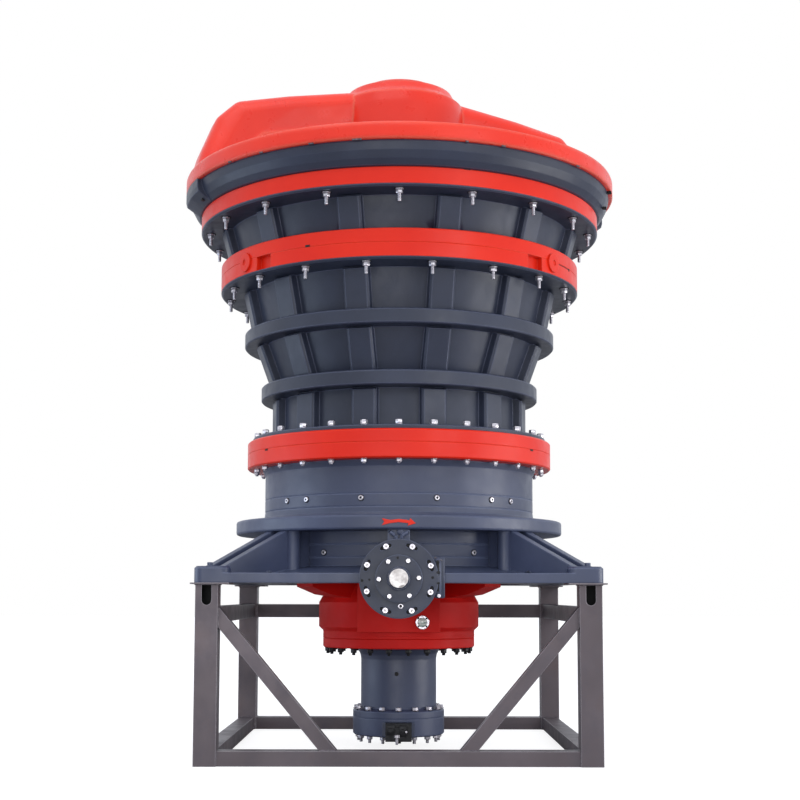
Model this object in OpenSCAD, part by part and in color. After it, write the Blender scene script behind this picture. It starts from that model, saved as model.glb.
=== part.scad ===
// Gyratory crusher with a hydraulic cylinder under its hub, on a welded steel stand.
// Lengths are in millimetres. The origin is on the floor under the crushing axis,
// +Z points up and the countershaft points along -Y.

/* [Stand] */
// Outside width of the square stand
stand_w = 2692; // [2640:2:2740]
// Width of each square post
post_w = 150; // [130:5:160]
// Height of the posts
post_h = 1190; // [1150:5:1250]
// Wall of the posts, beams and braces
tube_wall = 8; // [5:1:12]
// Width of the beams between the posts
beam_w = 120; // [90:5:130]
// Height of the beams on the floor
base_beam_h = 100; // [80:5:120]
// Height of the upper beams
top_beam_h = 110; // [80:5:130]
// Top of the upper beams, below the post tops
top_beam_drop = 149; // [120:5:200]
// Depth of the braces, square to the front
brace_w = 90; // [60:5:110]
// Foot of each brace, from the stand's middle to its inner corner
brace_foot_x = 405; // [380:5:480]
// Length of a brace's foot along the base beam
brace_foot_l = 117; // [100:1:130]
// Top of each brace, below the post tops
brace_top_drop = 147; // [120:1:200]
// Length of a brace's upper end along the post
brace_top_l = 137; // [120:1:150]
// Width of the slot in the front of each front post
post_slot_w = 64; // [40:2:80]
// Depth of that slot from the post's top
post_slot_h = 137; // [100:1:170]

/* [Base casting] */
// Thickness of the steel pad on each post
pad_t = 10; // [6:1:20]
// How far the casting stands out past the posts
base_overhang = 14; // [5:1:30]
// How far the pads stand out past the casting
pad_lip = 18; // [5:1:25]
// Side of each square foot
foot_w = 240; // [210:5:280]
// Radius of the casting's corners, seen from above
foot_corner_r = 60; // [30:5:80]
// Height of the feet
foot_h = 110; // [95:1:125]
// Height of the casting's straight edge
base_edge_h = 65; // [50:1:85]
// Rise of the casting's top from that edge to the barrel
base_rise = 55; // [30:1:70]
// How far the feet's sides lean in
foot_draft = 14; // [8:1:20]
// Outside radius of the barrel
barrel_r = 1015; // [1005:1:1025]
// Wall of the barrel
barrel_wall = 65; // [55:1:75]
// How far the panel under the disc lies behind the barrel
panel_in = 15; // [10:1:20]
// Depth and height of the grooves round the barrel and the panel
groove_w = 5; // [4:1:8]
// Lower groove of the panel, above the feet's soles
panel_groove_up = 178; // [165:1:190]
// Distance between the panel's grooves
panel_groove_gap = 90; // [80:1:100]
// Lower groove of the barrel, above the disc
barrel_groove_up = 66; // [60:1:75]
// Distance between the barrel's grooves
barrel_groove_gap = 90; // [80:1:100]
// Width of the flare under the lower joint
flare_w = 22; // [15:1:30]
// Thickness of the bottom shell's liner
liner_t = 25; // [15:1:30]
// Top of that liner, below the lower joint
liner_drop = 15; // [10:1:30]
// Height of the bottom shell, from its feet to its joint
bottom_shell_h = 965; // [950:5:1000]
// Radius of the stiffening disc round the barrel
disc_r = 1228; // [1200:1:1250]
// Thickness of the disc
disc_t = 100; // [80:2:110]
// Underside of the disc, above the feet's soles
disc_up = 362; // [340:2:380]
// Thickness of each gusset plate
gusset_t = 60; // [40:2:70]
// Gap between the two gusset plates of a corner
gusset_gap = 90; // [70:2:110]
// Roundness of the disc's edges
disc_edge = 15; // [8:1:25]
// Radius of the four cast columns on the panel
column_r = 75; // [50:5:90]
// Turn of the front columns from the front
column_turn = 50; // [48:1:54]
// Width of the neck between the countershaft's tube and the disc
neck_w = 150; // [120:2:160]

/* [Joint flanges] */
// Radius of the lower joint's flanges
low_flange_r = 1150; // [1130:1:1170]
// Thickness of the bottom shell's joint flange
low_flange_down_t = 110; // [90:2:120]
// Thickness of the lower top shell's bottom flange
low_flange_up_t = 92; // [80:2:100]
// How far the collar over the lower joint lies behind its flange's edge
collar_in = 38; // [30:2:50]
// Height of that collar
collar_h = 33; // [25:1:40]
// Radius of the middle joint's flanges
mid_flange_r = 1366; // [1350:1:1380]
// Thickness of each flange of the middle joint
mid_flange_t = 98; // [80:2:110]
// Radius of the upper joint's flange
top_flange_r = 1521; // [1500:1:1540]
// Thickness of the upper joint's flange
top_flange_t = 116; // [90:2:130]
// Thickness of the shells' rims under the middle and upper joints' flanges
lip_t = 17; // [16:1:30]
// Radius of the two alignment bosses on the middle joint
boss_r = 68; // [50:1:80]
// Thickness of each boss
boss_t = 14; // [8:1:25]
// Radius of the recess in each boss
boss_recess_r = 22; // [12:1:30]
// Turn of each boss from the front
boss_turn = 53.5; // [50:0.5:60]
// Turn of the notch beside each boss from the front
notch_turn = 44.5; // [38:0.5:46]
// Width of each notch
notch_w = 150; // [100:5:170]
// Depth of each notch
notch_d = 45; // [20:1:55]

/* [Top shells] */
// Height of the lower top shell
lower_top_h = 1335; // [1320:5:1350]
// Height of the upper top shell
upper_top_h = 475; // [465:5:485]
// Wall of the top shells
shell_wall = 55; // [50:1:65]
// Underside of the lower stiffening ring, over the lower joint
ring_low_up = 411; // [400:1:425]
// Underside of the upper stiffening ring, over the lower joint
ring_high_up = 818; // [800:1:835]
// Thickness of the stiffening rings
ring_t = 105; // [90:1:115]
// Radius of the lower stiffening ring
ring_low_r = 1052; // [1040:1:1060]
// Radius of the upper stiffening ring
ring_high_r = 1181; // [1170:1:1190]
// Ribs round each top shell
rib_count = 12; // [8:1:14]
// Height of the ribs over the wall
rib_h = 64; // [50:1:75]
// Width of each rib of the lower top shell
rib_w = 182; // [150:2:220]
// Width of each rib of the upper top shell
pad_rib_w = 172; // [150:2:220]
// Bevel on the long edges of the ribs
rib_bevel = 14; // [8:1:20]
// Radius of the ribs at the lower joint
rib_low_r = 966; // [955:1:975]
// Radius of the ribs under the upper stiffening ring
rib_waist_r = 1100; // [1085:1:1110]
// Radius of the ribs under the middle joint
rib_high_r = 1196; // [1185:1:1205]
// Radius of the ribs at the foot of the upper top shell
pad_rib_low_r = 1302; // [1295:1:1310]
// Radius of the ribs under the upper joint
pad_rib_high_r = 1372; // [1360:1:1385]
// Thickness of the concave liners
concave_t = 60; // [50:1:70]
// Height of the ledge under the concave liners
ledge_h = 28; // [20:1:40]

/* [Spider] */
// Height of the rim's skirt under its band
rim_skirt_h = 154; // [140:1:170]
// Height of the rim's band
rim_band_h = 120; // [105:1:130]
// Outside radius of the rim
rim_r = 1640; // [1620:1:1650]
// Radial thickness of the rim at its top
rim_wall = 130; // [110:5:140]
// Inside radius of the rim at its foot
rim_in_low_r = 1352; // [1330:1:1370]
// How far the skirt lies behind the band
skirt_in = 30; // [20:1:45]
// Turn of the two arms about the crushing axis
arm_turn = 18; // [0:1:30]
// Width of each arm
arm_w = 470; // [440:10:500]
// Radius that rounds the long edges of the arms
arm_edge_r = 115; // [90:5:130]
// Length over which an arm's end comes down to the rim
arm_fall_l = 590; // [560:5:600]
// Radius of the hub between the arms
spider_hub_r = 499; // [480:1:520]
// Height of the hub's top over the rim's top
spider_hub_up = 765; // [750:1:780]
// Depth of the hub under the rim's top
spider_hub_down = 420; // [380:5:440]
// Radius of the cap's seat on the hub
cap_r = 350; // [300:5:360]
// Height of the cap
cap_h = 40; // [30:1:60]
// Width of the root block of each arm under the rim's band, as a turn
root_turn = 17; // [14:1:19]

/* [Crushing head] */
// Radius of the main shaft
shaft_r = 170; // [150:5:190]
// Radius of the mantle at its lower edge
mantle_r = 630; // [600:2:640]
// Radius of the mantle at its upper edge
mantle_top_r = 400; // [380:2:410]
// Lower edge of the mantle, below the lower joint
mantle_down = 30; // [10:5:50]
// Upper edge of the mantle, over the middle joint
mantle_up = 185; // [150:5:200]
// Radial thickness of the mantle
mantle_t = 80; // [60:2:90]
// Height of the nut over the mantle
head_nut_h = 110; // [90:2:120]
// Radius of the head's neck in the gear housing
head_neck_r = 430; // [400:5:450]

/* [Hub and hydraulic cylinder] */
// Radius of the gear housing
hub_r = 602; // [590:1:615]
// Height of the gear housing's drum
hub_drum_h = 180; // [160:5:200]
// Underside of the hub's bottom plate, below the feet's soles
hub_drop = 467; // [440:1:480]
// Thickness of the bottom plate
hub_plate_t = 73; // [50:1:80]
// Radius of the bottom plate
hub_plate_r = 570; // [560:1:580]
// Height of the gear housing's foot over the bottom plate
hub_foot_h = 50; // [40:1:60]
// Height of the bevel between that foot and the drum
hub_bevel_h = 30; // [20:1:40]
// Width of each radial arm
hub_arm_w = 170; // [140:5:200]
// Width of the arm that carries the countershaft
pinion_arm_w = 590; // [560:5:600]
// Distance from the crushing axis to that arm's front
pinion_arm_out = 620; // [610:1:640]
// Radius of the hydraulic cylinder
cylinder_r = 283; // [270:1:295]
// Radius of the cylinder's flanges
cylinder_flange_r = 342; // [335:1:350]
// Height of the cylinder down to its cover
cylinder_h = 513; // [500:1:525]
// Thickness of the cylinder's lower flange
cylinder_flange_t = 57; // [45:1:65]
// Thickness of the cylinder's bottom cover
cover_t = 133; // [110:1:140]
// Width of the valve block on the cover
valve_w = 190; // [160:5:210]
// Height of the valve block
valve_h = 130; // [110:5:150]
// Depth of the valve block in front of the cover's flat
valve_d = 90; // [70:5:110]
// Radius of the sight port
port_r = 49; // [40:1:55]
// Distance of the sight port to the side of the countershaft
port_x = 169; // [160:1:180]
// Height of the sight port over the gear housing's foot
port_up = 70; // [60:1:90]

/* [Countershaft] */
// Height of the countershaft above the feet's soles
pinion_up = 27; // [20:1:40]
// Radius of the shaft's free end
counter_r = 61; // [50:1:66]
// Radius of the shaft in its bearings
journal_r = 72; // [68:1:80]
// Length of the free end for the coupling
counter_end_l = 176; // [150:1:240]
// How far the journal stands out of its cover
journal_out = 10; // [5:1:20]
// Width of the keyway
key_w = 32; // [20:1:36]
// Depth of the keyway
key_d = 11; // [6:1:14]
// Radius of the bearing housing's flange
housing_flange_r = 262; // [255:1:270]
// Thickness of that flange
housing_flange_t = 36; // [25:1:45]
// Radius of the bearing housing's barrel
housing_r = 205; // [190:1:210]
// Radius of the casting's tube round that barrel
tube_r = 248; // [235:1:255]
// How far the flange's seat lies in front of the casting's edge
housing_seat_out = 32; // [20:1:50]
// Distance from the crushing axis to the inner end of the bearing housing
housing_in = 700; // [680:5:720]
// Radius of the bearing cover
bearing_cover_r = 157; // [150:1:165]
// Thickness of the bearing cover
bearing_cover_t = 26; // [20:1:35]
// Slots for the flange's bolts
slot_count = 8; // [6:1:10]
// Radius of the slots' circle
slot_circle_r = 226; // [220:1:232]
// Width of each slot
slot_w = 25; // [20:1:30]
// Width of each slot's rounded ends
slot_end_w = 24; // [18:1:28]
// Turn that each slot covers
slot_turn = 14; // [8:1:18]
// Depth of each slot
slot_d = 28; // [10:1:32]

/* [Rotation arrow] */
// Length of the arrow on the disc's rim
arrow_l = 230; // [200:2:250]
// Width of the arrow's shaft
arrow_w = 22; // [16:1:28]
// Width of the arrow's head
arrow_head_w = 50; // [40:1:60]
// Thickness of the arrow
arrow_t = 3; // [2:0.5:5]

/* [Clearances] */
// Gap at small curved seats
seat_gap = 0.3; // [0.2:0.1:0.5]
// Gap at large curved seats between castings and behind the liners
cast_gap = 1.5; // [1:0.1:2]
// Running gap round the countershaft
run_gap = 0.3; // [0.2:0.1:0.5]

/* [Hidden] */
$fn = 96;

dark_paint = [0.27, 0.29, 0.36];
red_paint = [0.90, 0.23, 0.16];
hub_red = [0.72, 0.16, 0.14];
raw_steel = [0.40, 0.37, 0.38];
bright_steel = [0.78, 0.77, 0.77];
manganese = [0.35, 0.34, 0.33];

post_c = stand_w / 2 - post_w / 2;
inner_gap = stand_w - 2 * post_w;
cut = 1;
sink = 5;

sole_z = post_h + pad_t;
base_half = stand_w / 2 + base_overhang;
foot_c = base_half - foot_w / 2;
edge_z = sole_z + base_edge_h;
disc_z = sole_z + disc_up;
disc_top_z = disc_z + disc_t;
low_joint_z = sole_z + bottom_shell_h;
mid_joint_z = low_joint_z + lower_top_h;
top_joint_z = mid_joint_z + upper_top_h;
rim_band_z = top_joint_z + rim_skirt_h;
rim_top_z = rim_band_z + rim_band_h;
spider_hub_z = rim_top_z + spider_hub_up;

panel_r = barrel_r - panel_in;
shell_bore_r = barrel_r - barrel_wall;

pinion_z = sole_z + pinion_up;
seat_y = base_half + housing_seat_out;
flange_face_y = seat_y + housing_flange_t;
cover_face_y = flange_face_y + bearing_cover_t;
shoulder_y = cover_face_y + journal_out;
shaft_in_y = housing_in + 60;

plate_z = sole_z - hub_drop;
hub_z = plate_z + hub_plate_t;
hub_edge_z = hub_z + hub_foot_h;
drum_top_z = hub_edge_z + hub_bevel_h + hub_drum_h;
hub_top_z = sole_z + bottom_shell_h * 0.41;
cyl_z = plate_z - cylinder_h;
cover_z = cyl_z - cover_t;
cover_flat = 22;
arm_foot = 77;
hub_taper = 84;
key_turn = -68;
seam_gap = 0.1;
panel_top_z = disc_z - seam_gap;

// The top shells' walls, as [outside radius, height over the shell's lower joint]
lip_low = lower_top_h - mid_flange_t - lip_t;
wall_line = [
    [rib_low_r - rib_h, 0], [rib_low_r - rib_h, ring_low_up + ring_t / 2],
    [rib_waist_r - rib_h, ring_high_up], [rib_high_r - rib_h, lip_low],
    [rib_high_r - rib_h, lip_low + lip_t], [rib_high_r - rib_h, lower_top_h]
];
pad_lip_low = upper_top_h - top_flange_t - lip_t;
pad_wall_line = [
    [rib_high_r - rib_h, 0], [pad_rib_low_r - rib_h, mid_flange_t],
    [pad_rib_high_r - rib_h, pad_lip_low], [pad_rib_high_r - rib_h, upper_top_h]
];
// Outside corners of the ribs in each tier, from foot to top
ribs_low = [[rib_low_r, low_flange_up_t], [rib_low_r, ring_low_up]];
ribs_waist = [
    [rib_low_r + 0.15 * (rib_waist_r - rib_low_r), ring_low_up + ring_t - sink],
    [rib_waist_r, ring_high_up]
];
ribs_high = [
    [rib_waist_r + 0.3 * (rib_high_r - rib_waist_r), ring_high_up + ring_t - sink],
    [rib_high_r, lip_low]
];
ribs_pad = [[pad_rib_low_r, mid_flange_t], [pad_rib_high_r, pad_lip_low]];
rib_dome = 46;

function shift_in(line, d) = [for (p = line) [p[0] - d, p[1]]];
function flip(line) = [for (i = [len(line) - 1 : -1 : 0]) line[i]];
function wall_loop(line, a, b) = concat(shift_in(line, a), flip(shift_in(line, b)));

// A revolved ring with small bevels on its outer edges
module ring(r_in, r_out, z0, z1, low_bevel = 6, high_bevel = 6) {
    rotate_extrude() polygon([
        [r_in, z0], [r_out - low_bevel, z0], [r_out, z0 + low_bevel],
        [r_out, z1 - high_bevel], [r_out - high_bevel, z1], [r_in, z1]
    ]);
}

module rounded_square(w, r) {
    square([w, w - 2 * r], center = true);
    square([w - 2 * r, w], center = true);
    at_corners(w / 2 - r) circle(r);
}

module at_corners(c) {
    for (k = [0 : 3]) rotate(90 * k) translate([c, c]) children();
}

// A plate standing on edge along +X, from an outline of [radius, height]
module radial_plate(t) {
    rotate([90, 0, 0]) translate([0, 0, -t / 2]) linear_extrude(t) children();
}

// Turns a solid that stands on the floor plane to point along -Y at the countershaft
module on_counter_axis() {
    translate([0, 0, pinion_z]) rotate([90, 0, 0]) children();
}

module stand_posts() {
    color(raw_steel) difference() {
        at_corners(post_c) linear_extrude(post_h) difference() {
            square(post_w, center = true);
            square(post_w - 2 * tube_wall, center = true);
        }
        for (x = [-1, 1]) translate([x * post_c, -post_c, post_h]) rotate([90, 0, 0]) {
            translate([0, 0, post_w / 2 - tube_wall - cut]) linear_extrude(tube_wall + 2 * cut) {
                translate([-post_slot_w / 2, -post_slot_h + post_slot_w / 2])
                    square([post_slot_w, post_slot_h]);
                translate([0, -post_slot_h + post_slot_w / 2]) circle(d = post_slot_w);
            }
        }
    }
}

module beam_tube(l, w, h) {
    rotate([90, 0, 90]) translate([0, 0, -l / 2]) linear_extrude(l) difference() {
        translate([-w / 2, 0]) square([w, h]);
        translate([-w / 2 + tube_wall, tube_wall]) square([w - 2 * tube_wall, h - 2 * tube_wall]);
    }
}

module stand_base_beams() {
    color(raw_steel) for (k = [0 : 3]) rotate(90 * k) translate([0, post_c, 0])
        beam_tube(inner_gap, beam_w, base_beam_h);
}

module stand_top_beams() {
    color(raw_steel) for (k = [-1 : 1]) rotate(90 * k)
        translate([0, post_c, post_h - top_beam_drop - top_beam_h])
            beam_tube(inner_gap, beam_w, top_beam_h);
}

module brace_outline(inset) {
    top = post_h - brace_top_drop;
    polygon([
        [brace_foot_x + inset, base_beam_h], [brace_foot_x + brace_foot_l - inset, base_beam_h],
        [inner_gap / 2, top - brace_top_l + inset], [inner_gap / 2, top - inset]
    ]);
}

module stand_braces() {
    color(raw_steel) for (m = [0, 1]) mirror([m, 0, 0]) translate([0, -post_c, 0]) difference() {
        radial_plate(brace_w) brace_outline(0);
        radial_plate(brace_w - 2 * tube_wall) brace_outline(tube_wall * 1.3);
    }
}

module foot_pads() {
    w = foot_w + pad_lip;
    color(raw_steel) translate([0, 0, post_h]) linear_extrude(pad_t)
        at_corners(base_half + pad_lip - w / 2) square(w, center = true);
}

module gusset_outline() {
    z = sole_z + base_edge_h / 2;
    polygon([
        [panel_r, z], [base_half * 1.28, z], [base_half * 1.28, sole_z + foot_h],
        [disc_r - disc_edge, panel_top_z], [panel_r, panel_top_z]
    ]);
}

// A foot whose sides lean in towards its top
module foot_block() {
    hull() {
        linear_extrude(foot_h - foot_draft) rounded_square(foot_w, foot_corner_r);
        linear_extrude(foot_h) rounded_square(foot_w - 2 * foot_draft, foot_corner_r - foot_draft / 2);
    }
}

module base_plate() {
    translate([0, 0, sole_z]) linear_extrude(base_edge_h) rounded_square(2 * base_half, foot_corner_r);
    intersection() {
        translate([0, 0, edge_z]) cylinder(r1 = base_half, r2 = barrel_r, h = base_rise);
        translate([0, 0, sole_z]) linear_extrude(foot_h + base_rise)
            square(2 * base_half, center = true);
    }
    translate([0, 0, sole_z]) at_corners(foot_c) foot_block();
}

// The panel between the base and the disc, with two grooves round it
module base_panel() {
    low = sole_z + panel_groove_up;
    high = low + panel_groove_gap;
    g = groove_w;
    rotate_extrude() polygon([
        [shell_bore_r, sole_z], [panel_r, sole_z],
        [panel_r, low], [panel_r - g, low + g], [panel_r, low + 2 * g],
        [panel_r, high], [panel_r - g, high + g], [panel_r, high + 2 * g],
        [panel_r, panel_top_z], [shell_bore_r, panel_top_z]
    ]);
}

module base_casting() {
    color(dark_paint) difference() {
        union() {
            difference() {
                union() {
                    base_plate();
                    for (k = [0 : 3], s = [-1, 1]) rotate(45 + 90 * k)
                        translate([0, s * (gusset_gap + gusset_t) / 2])
                            radial_plate(gusset_t) gusset_outline();
                    for (a = [column_turn, 180 - column_turn], s = [-1, 1]) rotate(s * a - 90)
                        translate([panel_r - column_r / 4, 0, edge_z])
                            cylinder(r = column_r, h = panel_top_z - edge_z);
                    on_counter_axis() cylinder(r = tube_r, h = seat_y);
                    rotate(-90) radial_plate(neck_w) polygon([
                        [panel_r, pinion_z], [disc_r - 2 * disc_edge, pinion_z],
                        [disc_r - 2 * disc_edge, panel_top_z], [panel_r, panel_top_z]
                    ]);
                }
                translate([0, 0, sole_z - tube_r - cut])
                    cylinder(r = panel_r - 2 * groove_w, h = bottom_shell_h);
            }
            base_panel();
        }
        on_counter_axis() cylinder(r = housing_r + seat_gap, h = seat_y + cut);
    }
}

// The disc and the barrel over it, with two grooves round it
module bottom_shell() {
    e = disc_edge;
    low = disc_top_z + barrel_groove_up;
    high = low + barrel_groove_gap;
    g = groove_w;
    flare_z = low_joint_z - low_flange_down_t;
    color(dark_paint) rotate_extrude() polygon([
        [shell_bore_r, disc_z], [disc_r - e, disc_z], [disc_r - e * 0.3, disc_z + e * 0.3],
        [disc_r, disc_z + e], [disc_r, disc_top_z - e], [disc_r - e * 0.3, disc_top_z - e * 0.3],
        [disc_r - e, disc_top_z], [barrel_r + 3 * e, disc_top_z],
        [barrel_r + 1.2 * e, disc_top_z + 0.6 * e], [barrel_r + 0.3 * e, disc_top_z + 2 * e],
        [barrel_r, disc_top_z + 4 * e], [barrel_r, low], [barrel_r - g, low + g],
        [barrel_r, low + 2 * g], [barrel_r, high], [barrel_r - g, high + g],
        [barrel_r, high + 2 * g], [barrel_r, flare_z - 3 * e],
        [barrel_r + flare_w, flare_z], [barrel_r - 2 * g, flare_z],
        [barrel_r - 2 * g, low_joint_z], [shell_bore_r, low_joint_z]
    ]);
}

module bottom_flange() {
    color(red_paint) ring(
        barrel_r - 2 * groove_w + cast_gap, low_flange_r, low_joint_z - low_flange_down_t,
        low_joint_z, 10, 3
    );
}

module bottom_liner() {
    r = shell_bore_r - cast_gap;
    top = low_joint_z - liner_drop;
    color(manganese) rotate_extrude()
        polygon([[r - liner_t, disc_z], [r, disc_z], [r, top], [r - liner_t, top]]);
}

module hub_arm_outline() {
    polygon([
        [hub_r / 2, drum_top_z], [pinion_arm_out + 2 * arm_foot, sole_z - arm_foot],
        [barrel_r, sole_z], [barrel_r, disc_z], [hub_r / 2, disc_z]
    ]);
}

module gear_housing() {
    neck_r = hub_r - hub_taper;
    color(hub_red) difference() {
        intersection() {
            union() {
                rotate_extrude() polygon([
                    [0, hub_z], [hub_plate_r, hub_z], [hub_plate_r, hub_edge_z],
                    [hub_r, hub_edge_z + hub_bevel_h], [hub_r, drum_top_z],
                    [neck_r, sole_z + 10], [neck_r - 16, hub_top_z], [0, hub_top_z]
                ]);
                for (k = [0 : 3]) rotate(45 + 90 * k) radial_plate(hub_arm_w) hub_arm_outline();
                translate([-pinion_arm_w / 2, -pinion_arm_out, hub_edge_z])
                    cube([pinion_arm_w, pinion_arm_out, pinion_z - hub_edge_z]);
                on_counter_axis() cylinder(r = tube_r, h = shell_bore_r);
            }
            translate([0, 0, hub_z]) cylinder(r = shell_bore_r - cast_gap, h = bottom_shell_h);
        }
        on_counter_axis() translate([0, 0, hub_r / 2 + 200])
            cylinder(r = housing_r + seat_gap, h = shell_bore_r);
    }
}

module hub_bottom_plate() {
    color(hub_red) ring(0, hub_plate_r, plate_z, hub_z, 8, 8);
}

module hydraulic_cylinder() {
    r = cylinder_r;
    f = cylinder_flange_r;
    step_z = cyl_z + cylinder_flange_t;
    color(dark_paint) rotate_extrude() polygon([
        [0, cyl_z], [f, cyl_z], [f, step_z - flare_w / 2], [f - flare_w / 2, step_z],
        [r + flare_w / 2, step_z], [r, step_z + flare_w / 2], [r, plate_z - 4 * flare_w],
        [r + flare_w / 4, plate_z - 2.5 * flare_w], [r + flare_w, plate_z - flare_w],
        [r + 2 * flare_w, plate_z], [0, plate_z]
    ]);
}

module cylinder_cover() {
    r = cylinder_flange_r;
    color(dark_paint) difference() {
        rotate_extrude() polygon([
            [0, cover_z], [r - 10, cover_z], [r, cover_z + 10],
            [r, cyl_z - 4], [r - 4, cyl_z], [0, cyl_z]
        ]);
        translate([-valve_w / 2 - cover_flat, -r - cut, cover_z - cut])
            cube([valve_w + 2 * cover_flat, cover_flat + cut, cover_t - cover_flat]);
    }
}

module valve_block() {
    front = cylinder_flange_r - cover_flat + valve_d;
    nose = valve_w / 2;
    color(dark_paint) {
        translate([-valve_w / 2, -front, cover_z - cover_flat])
            cube([valve_w, valve_d, valve_h]);
        translate([-nose / 2, -front - valve_d / 4, cover_z - cover_flat / 2])
            cube([nose, valve_d / 4, valve_h * 0.7]);
        translate([0, -front + valve_d / 2, cover_z - cover_flat * 1.7])
            cylinder(r = valve_d / 5, h = cover_flat, $fn = 6);
    }
}

module sight_port() {
    color(bright_steel) translate([port_x, -pinion_arm_out, hub_edge_z + port_up])
        rotate([90, 0, 0]) {
            cylinder(r = port_r, h = port_r / 4);
            cylinder(r = port_r * 0.7, h = port_r * 0.37);
        }
}

module pinion_housing() {
    color(dark_paint) on_counter_axis() difference() {
        union() {
            translate([0, 0, housing_in]) cylinder(r = housing_r, h = seat_y - housing_in + cut);
            translate([0, 0, seat_y]) cylinder(r = housing_flange_r, h = housing_flange_t);
        }
        translate([0, 0, housing_in - cut])
            cylinder(r = journal_r + run_gap, h = flange_face_y - housing_in + 2 * cut);
        for (k = [0 : slot_count - 1]) rotate((k + 0.5) * 360 / slot_count)
            translate([0, 0, flange_face_y - slot_d]) {
                rotate_extrude(angle = slot_turn, start = -slot_turn / 2)
                    translate([slot_circle_r - slot_w / 2, 0]) square([slot_w, slot_d + cut]);
                for (s = [-1, 1]) rotate(s * slot_turn / 2) translate([slot_circle_r, 0, 0])
                    cylinder(d = slot_end_w, h = slot_d + cut);
            }
    }
}

module bearing_cover() {
    color(dark_paint) on_counter_axis() translate([0, 0, flange_face_y]) difference() {
        cylinder(r = bearing_cover_r, h = bearing_cover_t);
        translate([0, 0, -cut]) cylinder(r = journal_r + run_gap, h = bearing_cover_t + 2 * cut);
    }
}

module countershaft() {
    color(bright_steel) on_counter_axis() difference() {
        union() {
            translate([0, 0, shaft_in_y]) cylinder(r = journal_r, h = shoulder_y - shaft_in_y);
            translate([0, 0, shoulder_y - cut]) cylinder(r = counter_r, h = counter_end_l + cut);
        }
        rotate(key_turn) translate([counter_r - key_d, -key_w / 2, shoulder_y + key_w])
            cube([2 * key_d, key_w, counter_end_l]);
    }
}

// A rib with bevelled long edges and a rounded top, between two outside corners
module rib(w, ends) {
    low = ends[0];
    high = ends[1];
    root = rib_h + sink;
    lean = atan2(high[0] - low[0], high[1] - low[1]);
    b = rib_bevel;
    intersection() {
        radial_plate(w) polygon([
            [low[0] - root, low[1]], [low[0] + root, low[1]],
            [high[0] + root, high[1] - rib_dome], [high[0] - rib_dome * 0.3, high[1] - rib_dome * 0.3],
            [high[0] - rib_dome, high[1]], [high[0] - rib_dome, high[1] + sink],
            [high[0] - root, high[1] + sink]
        ]);
        translate([low[0], 0, low[1]]) rotate([0, lean, 0]) translate([0, 0, -root])
            linear_extrude(norm(high - low) + 2 * root) polygon([
                [-2 * root, -w / 2], [-b, -w / 2], [0, b - w / 2],
                [0, w / 2 - b], [-b, w / 2], [-2 * root, w / 2]
            ]);
    }
}

module ribs_round(w, ends) {
    for (k = [0 : rib_count - 1]) rotate((k + 0.5) * 360 / rib_count) rib(w, ends);
}

module lower_top_shell() {
    ledge_r = rib_low_r - rib_h - shell_wall - concave_t / 2;
    color(dark_paint) translate([0, 0, low_joint_z]) {
        rotate_extrude() polygon(wall_loop(wall_line, 0, shell_wall));
        ring(ledge_r, rib_low_r - rib_h - sink, 0, ledge_h, 0, 0);
        for (ends = [ribs_low, ribs_waist, ribs_high]) ribs_round(rib_w, ends);
        ring(
            rib_low_r - rib_h - sink, low_flange_r - collar_in, low_flange_up_t,
            low_flange_up_t + collar_h
        );
        ring(rib_low_r - rib_h - sink, ring_low_r, ring_low_up, ring_low_up + ring_t, 8, 8);
        ring(rib_waist_r - rib_h - sink, ring_high_r, ring_high_up, ring_high_up + ring_t, 8, 8);
        ring(rib_high_r - rib_h - sink, mid_flange_r, lip_low, lip_low + lip_t, 14, 0);
    }
}

module low_joint_flange() {
    color(red_paint) translate([0, 0, low_joint_z])
        ring(rib_low_r - rib_h + cast_gap, low_flange_r, 0, low_flange_up_t, 3, 10);
}

module mid_joint_flange() {
    z = mid_joint_z - mid_flange_t;
    color(red_paint) difference() {
        ring(rib_high_r - rib_h + cast_gap, mid_flange_r, z, mid_joint_z, 3, 3);
        for (s = [-1, 1]) rotate(-90 + s * notch_turn)
            translate([mid_flange_r - notch_d, -notch_w / 2, z - cut])
                cube([2 * notch_d, notch_w, mid_flange_t + 2 * cut]);
    }
}

module lower_concave() {
    a = shell_wall + cast_gap;
    base = [for (p = wall_line) [p[0], max(p[1], ledge_h)]];
    color(manganese) translate([0, 0, low_joint_z])
        rotate_extrude() polygon(wall_loop(base, a, a + concave_t));
}

module upper_mid_flange() {
    r = pad_rib_low_r - rib_h + cast_gap;
    color(red_paint) ring(r, mid_flange_r, mid_joint_z, mid_joint_z + mid_flange_t, 3, 8);
}

module upper_top_shell() {
    color(dark_paint) translate([0, 0, mid_joint_z]) {
        rotate_extrude() polygon(wall_loop(pad_wall_line, 0, shell_wall));
        ribs_round(pad_rib_w, ribs_pad);
        ring(
            pad_rib_high_r - rib_h - sink, top_flange_r, pad_lip_low, pad_lip_low + lip_t, 12, 0
        );
    }
}

module top_joint_flange() {
    r = pad_rib_high_r - rib_h + cast_gap;
    color(red_paint) ring(r, top_flange_r, top_joint_z - top_flange_t, top_joint_z, 3, 6);
}

module upper_concave() {
    a = shell_wall + cast_gap;
    color(manganese) translate([0, 0, mid_joint_z])
        rotate_extrude() polygon(wall_loop(pad_wall_line, a, a + concave_t));
}

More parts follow.
